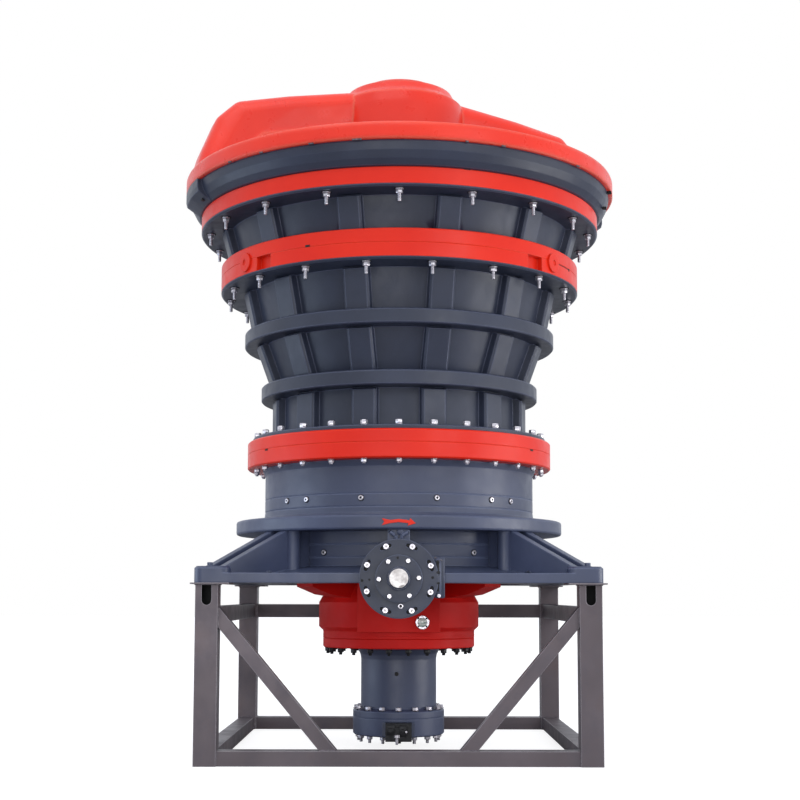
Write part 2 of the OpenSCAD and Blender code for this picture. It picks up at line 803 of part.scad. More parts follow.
module alignment_bosses() {
    r = mid_flange_r + boss_t;
    color(red_paint) for (s = [-1, 1]) difference() {
        intersection() {
            rotate(-90 + s * boss_turn) translate([0, 0, mid_joint_z - boss_t]) rotate([0, 90, 0])
                cylinder(r = boss_r, h = r);
            translate([0, 0, mid_joint_z - 2 * boss_r]) difference() {
                cylinder(r = r, h = 4 * boss_r);
                translate([0, 0, -cut])
                    cylinder(r = mid_flange_r + seat_gap, h = 4 * boss_r + 2 * cut);
            }
        }
        rotate(-90 + s * boss_turn) translate([r - boss_t / 2, 0, mid_joint_z - boss_t])
            rotate([0, 90, 0]) cylinder(r = boss_recess_r, h = boss_t);
    }
}

// The rim under its band, with a block at the root of each arm
module spider_skirt() {
    r = rim_r - skirt_in;
    h = rim_skirt_h;
    in_top_r = rim_in_low_r + (rim_r - rim_wall - rim_in_low_r) * h / (h + rim_band_h);
    color(dark_paint) translate([0, 0, top_joint_z]) {
        rotate_extrude() polygon([
            [rim_in_low_r, 0], [top_flange_r, 0], [top_flange_r + 0.18 * (r - top_flange_r), 6],
            [top_flange_r + 0.55 * (r - top_flange_r), 0.28 * h],
            [top_flange_r + 0.85 * (r - top_flange_r), 0.6 * h], [r, h - 12],
            [r, h], [in_top_r, h]
        ]);
        for (k = [0, 1]) rotate(arm_turn + 180 * k - root_turn / 2)
            rotate_extrude(angle = root_turn) polygon([
                [top_flange_r - sink, 0], [top_flange_r + 14, 0],
                [top_flange_r + 0.5 * (rim_r - top_flange_r), 0.18 * h],
                [rim_r - 8, 0.42 * h], [rim_r, 0.62 * h], [rim_r, h], [top_flange_r - sink, h]
            ]);
    }
}

// Crown of an arm, as [radius, height over the rim's top]
arm_end = rim_r - 34;
arm_line = [
    [spider_hub_r / 2, 0.974 * spider_hub_up], [arm_end - arm_fall_l, 0.803 * spider_hub_up],
    [arm_end - 0.391 * arm_fall_l, 0.705 * spider_hub_up],
    [arm_end - 0.215 * arm_fall_l, 0.584 * spider_hub_up],
    [arm_end - 0.04 * arm_fall_l, 0.259 * spider_hub_up], [arm_end, arm_edge_r]
];
// Narrowing of an arm at each point of its crown
arm_narrow = [0, 0, 0.1, 0.3, 0.35, 0.25];

module spider_arm() {
    e = arm_edge_r;
    hull() for (i = [0 : len(arm_line) - 1], s = [-1, 1]) {
        p = arm_line[i];
        half = (arm_w / 2 - e) * (1 - arm_narrow[i]);
        up = max(p[1], cut + 2 * e - rim_band_h);
        translate([p[0] - e, s * half, rim_top_z + up - e]) sphere(r = e, $fn = 36);
    }
    radial_plate(arm_w) polygon([
        [spider_hub_r / 2, rim_top_z + 0.6 * spider_hub_up],
        [arm_end - 0.8 * arm_fall_l, rim_top_z + 0.36 * spider_hub_up],
        [rim_r - rim_wall - sink, rim_top_z - rim_band_h / 2],
        [0.7 * rim_r, rim_top_z - rim_band_h / 3], [0.43 * rim_r, rim_top_z - 0.62 * spider_hub_down],
        [spider_hub_r / 2, rim_top_z - spider_hub_down]
    ]);
}

module spider() {
    r = spider_hub_r;
    top = spider_hub_z;
    in_top_r = rim_r - rim_wall;
    in_low_r = rim_in_low_r + (in_top_r - rim_in_low_r) * rim_skirt_h / (rim_skirt_h + rim_band_h);
    color(red_paint) {
        difference() {
            union() {
                for (k = [0, 1]) rotate(arm_turn + 180 * k) spider_arm();
                rotate_extrude() polygon([
                    [0, rim_top_z - spider_hub_down], [r, rim_top_z - spider_hub_down],
                    [r, top - 0.4 * r], [r - 0.02 * r, top - 0.24 * r],
                    [r - 0.118 * r, top - 0.156 * r], [r - 0.182 * r, top - 0.044 * r],
                    [cap_r, top], [0, top]
                ]);
            }
            translate([0, 0, rim_top_z - spider_hub_down - cut])
                cylinder(r = shaft_r + 20, h = spider_hub_down + spider_hub_up - cap_h);
        }
        translate([0, 0, rim_band_z]) rotate_extrude() polygon([
            [in_low_r, 0], [rim_r - 6, 0], [rim_r, 6], [rim_r, rim_band_h - 20],
            [rim_r - 6, rim_band_h - 6], [rim_r - 20, rim_band_h], [in_top_r, rim_band_h]
        ]);
    }
}

module spider_cap() {
    r = cap_r - 4;
    z = spider_hub_z;
    color(red_paint) rotate_extrude() polygon([
        [0, z], [r, z], [r - 6, z + 6], [r - 55, z + cap_h - 7], [r - 105, z + cap_h], [0, z + cap_h]
    ]);
}

mantle_z = low_joint_z - mantle_down;
mantle_h = mantle_down + lower_top_h + mantle_up;
core_r = mantle_r - mantle_t;
core_top_r = mantle_top_r - mantle_t;

module main_shaft() {
    top = spider_hub_z - 2 * cap_h;
    color(bright_steel) translate([0, 0, hub_top_z]) cylinder(r = shaft_r, h = top - hub_top_z);
}

module head_core() {
    in_r = shaft_r + seat_gap;
    plate = 2 * mantle_down;
    color(manganese) rotate_extrude() polygon([
        [in_r, hub_top_z], [head_neck_r, hub_top_z], [head_neck_r, mantle_z - plate],
        [mantle_r - 20, mantle_z - plate], [mantle_r - 20, mantle_z],
        [core_r - cast_gap, mantle_z], [core_top_r - cast_gap, mantle_z + mantle_h],
        [in_r, mantle_z + mantle_h]
    ]);
}

module mantle() {
    color(manganese) translate([0, 0, mantle_z]) rotate_extrude() polygon([
        [core_r, 0], [mantle_r, 0], [mantle_top_r, mantle_h], [core_top_r, mantle_h]
    ]);
}

module head_nut() {
    z = mantle_z + mantle_h;
    color(manganese) ring(shaft_r + seat_gap, mantle_top_r - 20, z, z + head_nut_h, 0, 10);
}

// The arrow's outline, from its notched tail to its head
module arrow_outline() {
    l = arrow_l / 2;
    w = arrow_w / 2;
    hw = arrow_head_w / 2;
    polygon([
        [-l, hw * 0.9], [-l / 2, w], [0, w * 1.6], [l / 2, w], [l * 0.62, w * 0.6],
        [l * 0.66, hw * 0.95], [l, -hw * 0.45], [l * 0.5, -hw * 1.15], [l * 0.56, -w * 1.2],
        [l / 2, -w], [0, -w * 0.4], [-l / 2, -w], [-l, -hw], [-l * 0.86, 0]
    ]);
}

module rotation_arrow() {
    z = disc_z + disc_t / 2;
    color(red_paint) intersection() {
        rotate([90, 0, 0]) translate([0, z, 0]) linear_extrude(disc_r + 2 * arrow_t)
            arrow_outline();
        translate([0, 0, disc_z]) difference() {
            cylinder(r = disc_r + arrow_t, h = disc_t);
            translate([0, 0, -cut]) cylinder(r = disc_r / cos(180 / $fn), h = disc_t + 2 * cut);
        }
    }
}

stand_posts();
stand_base_beams();
stand_top_beams();
stand_braces();
foot_pads();
base_casting();
bottom_shell();
bottom_flange();
bottom_liner();
gear_housing();
hub_bottom_plate();
hydraulic_cylinder();
cylinder_cover();
valve_block();
sight_port();
pinion_housing();
bearing_cover();
countershaft();
low_joint_flange();
lower_top_shell();
mid_joint_flange();
lower_concave();
upper_mid_flange();
upper_top_shell();
top_joint_flange();
upper_concave();
alignment_bosses();
spider_skirt();
spider();
spider_cap();
main_shaft();
head_core();
mantle();
head_nut();
rotation_arrow();
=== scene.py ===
"""Looks, fasteners and studio for a gyratory crusher on its welded stand.

Metres. The crushing axis is Z, the countershaft points along -Y, and angles round the
crushing axis are in degrees from the front, to the right.
"""
import math
import random

import bpy
import bmesh
from mathutils import Matrix, Vector


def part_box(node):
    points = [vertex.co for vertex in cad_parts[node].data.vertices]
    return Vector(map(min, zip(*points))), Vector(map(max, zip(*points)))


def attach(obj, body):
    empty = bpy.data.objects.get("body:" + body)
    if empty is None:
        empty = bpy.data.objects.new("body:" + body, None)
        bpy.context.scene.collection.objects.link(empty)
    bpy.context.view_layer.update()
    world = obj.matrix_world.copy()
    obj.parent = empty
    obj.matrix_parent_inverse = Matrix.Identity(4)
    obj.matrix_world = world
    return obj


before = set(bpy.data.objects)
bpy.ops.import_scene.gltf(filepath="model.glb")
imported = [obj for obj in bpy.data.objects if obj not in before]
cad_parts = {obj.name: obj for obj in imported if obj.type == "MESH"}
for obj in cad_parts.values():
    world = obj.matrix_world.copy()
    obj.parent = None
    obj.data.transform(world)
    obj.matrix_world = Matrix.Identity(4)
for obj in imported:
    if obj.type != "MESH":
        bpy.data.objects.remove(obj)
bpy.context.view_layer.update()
chance = random.Random(7)

# ---------------------------------------------------------------- places from the frame

# Lower and upper corner of every node's box
LOW = {n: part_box(n)[0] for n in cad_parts}
HIGH = {n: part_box(n)[1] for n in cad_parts}

# The countershaft's height, and the front faces of its housing and cover
AXIS_Z = (LOW["countershaft"].z + HIGH["countershaft"].z) / 2
FLANGE_Y = LOW["pinion_housing"].y
COVER_Y = LOW["bearing_cover"].y
# Outside radii of the barrel over the disc, and of the panel under it
BARREL_R = 1.015
PANEL_R = 1.000
# Seats of the bolts: the lower joint's collar, and the lips under the middle and upper joints
COLLAR_H = 0.033
LIP_T = 0.017
COLLAR_Z = HIGH["low_joint_flange"].z + COLLAR_H
MID_LIP_Z = LOW["mid_joint_flange"].z - LIP_T
TOP_LIP_Z = LOW["top_joint_flange"].z - LIP_T
# Thickness of the hydraulic cylinder's lower flange, and the height of its upper face
CYLINDER_FLANGE_T = 0.055
CYLINDER_STEP_Z = LOW["hydraulic_cylinder"].z + CYLINDER_FLANGE_T
# Underside of the spider's rim band
RIM_BAND_Z = HIGH["spider_skirt"].z
# How far in front of the crushing axis the neck's face lies
NECK_FACE = 1.198
# Distance of the posts' centres from the middle on both axes, and half the posts' width
POST_C = 1.271
POST_HALF = 0.075
# The stand's corners, as signs of X and Y
CORNERS = [(-1, -1), (-1, 1), (1, -1), (1, 1)]


# ---------------------------------------------------------------- materials

def srgb(r, g, b):
    """Linear colour of an sRGB colour given in 0 to 255."""
    def linear(v):
        v /= 255
        return v / 12.92 if v <= 0.04045 else ((v + 0.055) / 1.055) ** 2.4
    return linear(r), linear(g), linear(b), 1


class Finish:
    """A material with one Principled shader, and short calls for the nodes that drive it."""

    def __init__(self, name, **constants):
        self.material = bpy.data.materials.new(name)
        self.material.use_nodes = True
        self.tree = self.material.node_tree
        self.shader = self.tree.nodes["Principled BSDF"]
        for socket, value in constants.items():
            self.shader.inputs[socket.replace("_", " ")].default_value = value
        self.place = self.node("TexCoord").outputs["Object"]

    def node(self, kind, **settings):
        made = self.tree.nodes.new("ShaderNode" + kind)
        for name, value in settings.items():
            if hasattr(made, name):
                setattr(made, name, value)
            else:
                made.inputs[name.replace("_", " ")].default_value = value
        return made

    def link(self, source, target):
        self.tree.links.new(source, target)

    def stretched(self, x, y, z):
        """Object coordinates scaled on each axis."""
        mapping = self.node("Mapping", Scale=(x, y, z))
        self.link(self.place, mapping.inputs["Vector"])
        return mapping.outputs["Vector"]

    def noise(self, scale, detail, rough, place=None, distortion=0):
        made = self.node("TexNoise", Scale=scale, Detail=detail, Roughness=rough, Distortion=distortion)
        self.link(place or self.place, made.inputs["Vector"])
        return made.outputs["Fac"]

    def ramp(self, value, low, high, to_low=0, to_high=1):
        """value from low..high spread over to_low..to_high, held at the ends."""
        made = self.node("MapRange")
        made.inputs["From Min"].default_value = low
        made.inputs["From Max"].default_value = high
        made.inputs["To Min"].default_value = to_low
        made.inputs["To Max"].default_value = to_high
        self.link(value, made.inputs["Value"])
        return made.outputs["Result"]

    def mix(self, share, first, second):
        """Colour between two colours or sockets."""
        made = self.node("Mix", data_type="RGBA")
        self.link(share, made.inputs["Factor"])
        # Of the sockets with the same names, 6 and 7 in and 2 out are the ones for colours
        for socket, colour in ((made.inputs[6], first), (made.inputs[7], second)):
            if isinstance(colour, tuple):
                socket.default_value = colour
            else:
                self.link(colour, socket)
        return made.outputs[2]

    def edges(self, radius):
        """1 on convex and concave edges of about that radius, 0 on flats."""
        bevel = self.node("Bevel", samples=4, Radius=radius)
        flat = self.node("NewGeometry").outputs["Normal"]
        dot = self.node("VectorMath", operation="DOT_PRODUCT")
        self.link(bevel.outputs["Normal"], dot.inputs[0])
        self.link(flat, dot.inputs[1])
        return self.ramp(dot.outputs["Value"], 0.995, 0.90)

    def surface(self, colour, roughness, heights, soften=0.006):
        """Links colour, roughness and bump, from (height, strength, distance) rows over softened edges."""
        self.link(colour, self.shader.inputs["Base Color"])
        self.link(roughness, self.shader.inputs["Roughness"])
        normal = self.node("Bevel", samples=4, Radius=soften).outputs["Normal"]
        for height, strength, distance in heights:
            bump = self.node("Bump", Strength=strength, Distance=distance)
            self.link(height, bump.inputs["Height"])
            self.link(normal, bump.inputs["Normal"])
            normal = bump.outputs["Normal"]
        self.link(normal, self.shader.inputs["Normal"])
        return self.material


def enamel(name, body, deep, speck_and_highlight, rough, soften=0.006, coat=0.15, gloss=0.5, edge=0.008):
    """Enamel over metal: drifting tone, orange peel, dust, and a painted highlight over edges that wide,
    partly paint wearing thin there.
    """
    f = Finish(name, Metallic=0, Specular_IOR_Level=gloss, Coat_Weight=coat, Coat_Roughness=0.3)
    drift = f.noise(1.7, 3, 0.5)
    blotch = f.noise(14, 5, 0.6)
    grain = f.noise(130, 3, 0.6)
    tone = f.mix(f.ramp(drift, 0.35, 0.68), deep, body)
    tone = f.mix(f.ramp(blotch, 0.42, 0.78, 0, 0.35), tone, deep)
    tone = f.mix(f.ramp(grain, 0.62, 0.82, 0, 0.22), tone, speck_and_highlight)
    # Painted highlight: edges lightened towards the third colour, partly paint wearing thin.
    tone = f.mix(f.ramp(f.edges(edge), 0, 1, 0, 0.5), tone, speck_and_highlight)
    shine = f.ramp(f.noise(9, 4, 0.6), 0.3, 0.7, *rough)
    return f.surface(tone, shine, [
        (f.noise(5.5, 3, 0.5), 0.35, 0.006),
        (f.noise(46, 3, 0.55), 0.25, 0.0012),
        (grain, 0.10, 0.0004),
    ], soften)


def mill_steel(name):
    """Hot rolled tube: brown-grey with faint blue-grey and rusty patches, and edges lightened, partly
    ground steel and partly a painted highlight.
    """
    f = Finish(name, Metallic=0.3, Specular_IOR_Level=0.5)
    drift = f.noise(1.6, 3, 0.5)
    patches = f.noise(7, 5, 0.65, f.stretched(1, 1, 0.7), 0.3)
    specks = f.noise(110, 4, 0.7)
    tone = f.mix(f.ramp(drift, 0.34, 0.68), srgb(84, 75, 79), srgb(100, 91, 96))
    tone = f.mix(f.ramp(patches, 0.46, 0.74, 0, 0.35), tone, srgb(76, 74, 84))
    tone = f.mix(f.ramp(f.noise(3.1, 4, 0.6), 0.56, 0.78, 0, 0.35), tone, srgb(92, 72, 66))
    tone = f.mix(f.ramp(specks, 0.62, 0.78, 0, 0.25), tone, srgb(66, 60, 64))
    # Painted highlight along every edge, partly ground steel.
    tone = f.mix(f.edges(0.008), tone, srgb(152, 146, 152))
    shine = f.ramp(patches, 0.3, 0.7, 0.36, 0.54)
    return f.surface(tone, shine, [(specks, 0.12, 0.0005), (patches, 0.10, 0.0015)], 0.005)


def bare_metal(name, body, deep, metallic, rough, blot=60):
    """Machined, plated or oxidised metal with fine mottling: blot is how many spots fit in a metre."""
    f = Finish(name, Metallic=metallic, Specular_IOR_Level=0.5)
    blots = f.noise(blot, 4, 0.6)
    fine = f.noise(blot * 6, 3, 0.6)
    tone = f.mix(f.ramp(blots, 0.36, 0.66), deep, body)
    shine = f.ramp(fine, 0.3, 0.7, *rough)
    return f.surface(tone, shine, [(blots, 0.25, 0.0008), (fine, 0.125, 0.0002)], 0.0015)


def cast_liner(name):
    """Manganese steel as cast: dark skin with rust bloom and a rough face."""
    f = Finish(name, Metallic=0.55, Specular_IOR_Level=0.5)
    skin = f.noise(22, 6, 0.65)
    tone = f.mix(f.ramp(skin, 0.35, 0.68), srgb(70, 68, 70), srgb(116, 112, 110))
    tone = f.mix(f.ramp(f.noise(3.5, 5, 0.6), 0.5, 0.75, 0, 0.5), tone, srgb(112, 84, 66))
    return f.surface(tone, f.ramp(skin, 0.3, 0.7, 0.45, 0.7), [(skin, 0.5, 0.003)], 0.006)


def marked_glass(name):
    """Thick sight glass: a pale green pane with a soft darker band of oil behind it."""
    f = Finish(name, Metallic=0, Specular_IOR_Level=0.6, Coat_Weight=0.6, Coat_Roughness=0.08)
    band = f.noise(30, 2, 0.5, f.stretched(0.4, 1, 2.2))
    tone = f.mix(f.ramp(band, 0.40, 0.62), srgb(140, 158, 150), srgb(214, 222, 214))
    return f.surface(tone, f.ramp(band, 0.3, 0.7, 0.12, 0.25), [(band, 0.05, 0.0005)], 0.001)


# The third colour of each enamel goes into light specks and into the painted highlight along edges.
DARK = enamel("dark_enamel", srgb(51, 57, 76), srgb(41, 46, 62), srgb(112, 120, 150),
              rough=(0.34, 0.48), soften=0.014, coat=0.06, gloss=0.4, edge=0.012)
# Painted light: a lighter, bluer copy of the dark enamel for the lower castings, standing in for the
# stronger bluish light low down.
DARK_LIT_LOW = enamel("dark_enamel_lit_low", srgb(65, 73, 100), srgb(55, 62, 86), srgb(114, 124, 154),
                   rough=(0.36, 0.50), soften=0.014, coat=0.10, edge=0.012)
RED = enamel("red_enamel", srgb(230, 42, 16), srgb(218, 33, 13), srgb(240, 84, 56),
             rough=(0.30, 0.46), soften=0.008, coat=0.06, gloss=0.25)
# The spider's red carries a wide, strong painted highlight along its edges.
RED_CAST = enamel("red_cast_enamel", srgb(236, 48, 22), srgb(226, 40, 18), srgb(252, 132, 104),
                  rough=(0.24, 0.42), soften=0.05, coat=0.15, gloss=0.35, edge=0.03)
# A deeper, more matte copy of the red for the hub under the base, partly painted shade there.
HUB_RED = enamel("hub_enamel", srgb(216, 26, 20), srgb(200, 20, 16), srgb(228, 62, 50),
                 rough=(0.48, 0.62), coat=0, gloss=0.2)
STEEL = mill_steel("mill_steel")
ZINC = bare_metal("zinc_plate", srgb(226, 222, 228), srgb(186, 182, 190), 0.8, (0.22, 0.38))
OXIDE = bare_metal("black_oxide", srgb(34, 34, 38), srgb(20, 20, 23), 0.4, (0.35, 0.55))
BRIGHT = bare_metal("machined_steel", srgb(222, 218, 216), srgb(168, 162, 160), 0.8, (0.32, 0.5), blot=26)
LINER = cast_liner("cast_liner")
GLASS = marked_glass("sight_glass")
# Near-black: the own colour of small plugs and screws, and painted shade in slots, recesses, bores and
# under washers.
SHADE = bare_metal("black_and_painted_shade", srgb(16, 15, 18), srgb(9, 9, 11), 0, (0.6, 0.8))
BEAD = bare_metal("weld_bead", srgb(128, 122, 128), srgb(78, 72, 78), 0.6, (0.35, 0.5), blot=120)

PAINTED = {
    DARK: ["pinion_housing", "bearing_cover", "lower_top_shell", "upper_top_shell", "spider_skirt"],
    DARK_LIT_LOW: ["base_casting", "bottom_shell", "hydraulic_cylinder", "cylinder_cover"],
    RED: ["bottom_flange", "low_joint_flange", "mid_joint_flange", "upper_mid_flange",
          "top_joint_flange", "alignment_bosses", "rotation_arrow"],
    RED_CAST: ["spider", "spider_cap"],
    HUB_RED: ["gear_housing", "hub_bottom_plate"],
    STEEL: ["stand_posts", "stand_base_beams", "stand_top_beams", "stand_braces", "foot_pads"],
    LINER: ["bottom_liner", "lower_concave", "upper_concave", "mantle", "head_core", "head_nut"],
    BRIGHT: ["countershaft", "main_shaft", "sight_port"],
    OXIDE: ["valve_block"],
}
for finish, names in PAINTED.items():
    for name in names:
        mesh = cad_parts[name].data
        for slot in range(len(mesh.materials)):
            mesh.materials[slot] = finish


# ---------------------------------------------------------------- small shapes

# Edges that fold by more than this stay sharp
SHARP = math.radians(32)


class Shape:
    """Faces gathered into one mesh, each with a finish."""

    def __init__(self):
        self.points, self.faces, self.finishes, self.used = [], [], [], []

    def add(self, points, faces, finish, place=Matrix()):
        start = len(self.points)
        self.points += [place @ Vector(p) for p in points]
        self.faces += [[start + i for i in face] for face in faces]
        if finish not in self.finishes:
            self.finishes.append(finish)
        self.used += [self.finishes.index(finish)] * len(faces)

    def turned(self, rings, finish, place=Matrix(), sides=24):
        """A closed solid through rings of (radius or function of the turn, height) along local Z."""
        points, faces = [], []
        for radius, height in rings:
            for i in range(sides):
                a = 2 * math.pi * i / sides
                r = radius(a) if callable(radius) else radius
                points.append((r * math.cos(a), r * math.sin(a), height))
        for k in range(len(rings) - 1):
            for i in range(sides):
                j = (i + 1) % sides
                low, high = k * sides, (k + 1) * sides
                faces.append([low + i, low + j, high + j, high + i])
        last = (len(rings) - 1) * sides
        faces.append(list(range(sides))[::-1])
        faces.append([last + i for i in range(sides)])
        self.add(points, faces, finish, place)

    def hoop(self, section, finish, place=Matrix(), sides=96):
        """A closed ring about local Z with a section of (radius, height) corners."""
        n = len(section)
        points = [(r * math.cos(a), r * math.sin(a), z)
                  for a in (2 * math.pi * i / sides for i in range(sides)) for r, z in section]
        faces = []
        for i in range(sides):
            here, ahead = n * i, n * ((i + 1) % sides)
            for k in range(n):
                j = (k + 1) % n
                faces.append([here + k, ahead + k, ahead + j, here + j])
        self.add(points, faces, finish, place)

    def slab(self, outline, low, high, finish, place):
        """A plate with an outline of (x, y), between two heights on local Z."""
        n = len(outline)
        points = [(x, y, z) for z in (low, high) for x, y in outline]
        faces = [list(range(n))[::-1], [n + k for k in range(n)]]
        faces += [[k, (k + 1) % n, n + (k + 1) % n, n + k] for k in range(n)]
        self.add(points, faces, finish, place)

    def block(self, low, high, finish, chamfer=0.002):
        """A box with chamfered edges, between two corners."""
        made = bmesh.new()
        bmesh.ops.create_cube(made, size=1)
        size = Vector(high) - Vector(low)
        middle = (Vector(high) + Vector(low)) / 2
        matrix = Matrix.Translation(middle) @ Matrix.Diagonal(size).to_4x4()
        bmesh.ops.transform(made, matrix=matrix, verts=made.verts)
        bmesh.ops.bevel(made, geom=made.edges[:], offset=chamfer, segments=2, affect="EDGES", profile=0.5)
        made.verts.index_update()
        points = [v.co.copy() for v in made.verts]
        faces = [[v.index for v in f.verts] for f in made.faces]
        self.add(points, faces, finish)
        made.free()

    def bead(self, path, finish, radius=0.006, ripple=0.25, sides=6, step=0.007):
        """A weld bead along a path of points, with ripples and closed ends."""
        places = []
        for a, b in zip(path, path[1:]):
            a, b = Vector(a), Vector(b)
            count = max(2, int((b - a).length / step))
            places += [a.lerp(b, i / count) for i in range(count)]
        places.append(Vector(path[-1]))
        points, faces = [], []
        for k, here in enumerate(places):
            ahead = places[min(k + 1, len(places) - 1)] - places[max(k - 1, 0)]
            side = ahead.orthogonal().normalized()
            up = ahead.cross(side).normalized()
            # A swell about every third point, some chance, and narrow ends
            r = radius * (1 + ripple * math.sin(2.1 * k) * 0.6 + ripple * chance.uniform(-0.4, 0.4))
            if k in (0, len(places) - 1):
                r *= 0.45
            for i in range(sides):
                a = 2 * math.pi * i / sides
                points.append(here + side * r * math.cos(a) + up * r * math.sin(a))
        for k in range(len(places) - 1):
            for i in range(sides):
                j = (i + 1) % sides
                faces.append([k * sides + i, k * sides + j, (k + 1) * sides + j, (k + 1) * sides + i])
        last = (len(places) - 1) * sides
        faces.append(list(range(sides))[::-1])
        faces.append([last + i for i in range(sides)])
        self.add(points, faces, finish)

    def arc_plate(self, finish, radius, z0, z1, turn, span, depth=0.01, steps=6):
        """A curved plate about the crushing axis, from depth under radius out to it, span degrees wide."""
        points, faces = [], []
        for i in range(steps + 1):
            a = math.radians(turn + span * (i / steps - 0.5))
            for r, z in ((radius, z0), (radius, z1), (radius - depth, z1), (radius - depth, z0)):
                points.append((r * math.sin(a), -r * math.cos(a), z))
        for i in range(steps):
            for k in range(4):
                j = (k + 1) % 4
                faces.append([4 * i + k, 4 * (i + 1) + k, 4 * (i + 1) + j, 4 * i + j])
        faces.append([3, 2, 1, 0])
        faces.append([4 * steps + k for k in range(4)])
        self.add(points, faces, finish)

    def piece(self, name, body="frame"):
        """The finished object: outward faces, smooth but for its sharp edges, riding on a body."""
        mesh = bpy.data.meshes.new(name)
        mesh.from_pydata([tuple(p) for p in self.points], [], self.faces)
        for finish in self.finishes:
            mesh.materials.append(finish)
        mesh.polygons.foreach_set("material_index", self.used)
        made = bmesh.new()
        made.from_mesh(mesh)
        bmesh.ops.recalc_face_normals(made, faces=made.faces[:])
        for face in made.faces:
            face.smooth = True
        for edge in made.edges:
            edge.smooth = edge.is_manifold and edge.calc_face_angle(0) < SHARP
        made.to_mesh(mesh)
        made.free()
        obj = bpy.data.objects.new(name, mesh)
        bpy.context.scene.collection.objects.link(obj)
        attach(obj, body)


def round_place(turn, radius, z, down=False):
    """A place on a level circle about the crushing axis, facing up, or down."""
    a = math.radians(turn)
    spot = Matrix.Translation((radius * math.sin(a), -radius * math.cos(a), z))
    place = spot @ Matrix.Rotation(a, 4, "Z")
    return place @ Matrix.Rotation(math.pi, 4, "X") if down else place


def wall_place(turn, radius, z):
    """A place on an upright wall about the crushing axis, facing out."""
    outward = Matrix.Translation((0, -radius, z)) @ Matrix.Rotation(math.pi / 2, 4, "X")
    return Matrix.Rotation(math.radians(turn), 4, "Z") @ outward


def front_place(x, y, z):
    """A place facing the front."""
    return Matrix.Translation((x, y, z)) @ Matrix.Rotation(math.pi / 2, 4, "X")


def around_shaft(radius, degrees, y):
    """A place facing the front on a circle about the shaft: degrees from the right and upwards."""
    a = math.radians(degrees)
    return front_place(radius * math.cos(a), y, AXIS_Z + radius * math.sin(a))


def ring_of(count, first=0.0):
    """Turns of that many places at even steps round a full circle."""
    return [first + 360 * k / count for k in range(count)]


# ---------------------------------------------------------------- fasteners

# Thickness of a common washer, and the step of every thread
WASHER_T = 0.004
PITCH = 0.004


def spun(place):
    """The place turned by chance about its own axis, as a hexagon is when it is tightened."""
    return place @ Matrix.Rotation(math.radians(chance.uniform(0, 60)), 4, "Z")


def washer(shape, place, finish, radius, height=WASHER_T):
    """A washer or other flat disc with its edges eased."""
    e = height * 0.25
    rings = [(radius - e, 0), (radius, e), (radius, height - e), (radius - e, height)]
    shape.turned(rings, finish, place, sides=22)


def hex_nut(shape, place, finish, flats, height, base=0.0):
    """A hexagon of a width across its flats, with its corners turned off at both ends."""
    r = flats / math.sqrt(3)
    end, bevel = r * 0.90, height * 0.13
    rings = [(end, base), (r, base + bevel), (r, base + height - bevel), (end, base + height)]
    shape.turned(rings, finish, spun(place), sides=6)


def hex_bolt(shape, place, finish, flats, height, washer_r):
    """A hexagon head on a washer."""
    washer(shape, place, finish, washer_r)
    hex_nut(shape, place, finish, flats, height, WASHER_T)


def thread(shape, place, finish, radius, base, top):
    """A threaded end between two heights: a ridge every pitch and a pointed-off tip."""
    root = radius - radius * 0.09
    rings = [(root, base)]
    z = base + PITCH / 2
    while z < top - PITCH:
        rings += [(radius, z), (root, z + PITCH / 2)]
        z += PITCH
    rings += [(root, top - PITCH / 2), (radius * 0.78, top)]
    shape.turned(rings, finish, place, sides=12)


def socket_screw(shape, place, finish, inside, diameter, height, key):
    """A cylinder head with a hexagon socket of a width across its flats, and a floor in it."""
    def hexagon(scale):
        flat = key / 2 * scale
        return lambda a: flat / math.cos((a + math.pi / 6) % (math.pi / 3) - math.pi / 6)
    r = diameter / 2
    e = r * 0.10
    place = spun(place)
    mouth, bottom = (hexagon(1.02), height), (hexagon(0.98), height * 0.45)
    shape.turned([(r, 0), (r, height - e), (r - e, height), mouth, bottom], finish, place, sides=24)
    shape.turned([(hexagon(0.9), height * 0.44), (hexagon(0.9), height * 0.47)], inside, place, sides=24)


# ---------------------------------------------------------------- fasteners round the shells

def low_joint_bolts():
    """Bolts through the lower joint: heads on the collar, nuts and ends under the flange."""
    shape = Shape()
    head_circle, nut_circle = 1.083, 1.085
    for turn in ring_of(28):
        head = round_place(turn, head_circle, COLLAR_Z)
        hex_bolt(shape, head, ZINC, flats=0.045, height=0.030, washer_r=0.0255)
        under = round_place(turn, nut_circle, LOW["bottom_flange"].z, down=True)
        washer(shape, under, ZINC, radius=0.024)
        hex_nut(shape, under, ZINC, flats=0.036, height=0.020, base=WASHER_T)
        thread(shape, under, ZINC, radius=0.013, base=0.020, top=0.034)
    shape.piece("low_joint_bolts")


def hanging_studs():
    """Studs that hang under the middle and upper joints' lips, with washer, nut and a painted shadow round
    the seat.
    """
    shape = Shape()
    washer_h, nut_h, end_l = 0.006, 0.028, 0.054
    for first, circle, seat in ((10, 1.300, MID_LIP_Z), (0, 1.450, TOP_LIP_Z)):
        for turn in ring_of(18, first):
            place = round_place(turn, circle, seat, down=True)
            washer(shape, place, ZINC, radius=0.029, height=washer_h)
            hex_nut(shape, place, ZINC, flats=0.043, height=nut_h, base=washer_h)
            thread(shape, place, ZINC, radius=0.0125, base=nut_h, top=washer_h + nut_h + end_l)
            # Painted shadow: a near-black disc under each washer, against the lip.
            washer(shape, place, SHADE, radius=0.037, height=0.003)
    shape.piece("hanging_studs")


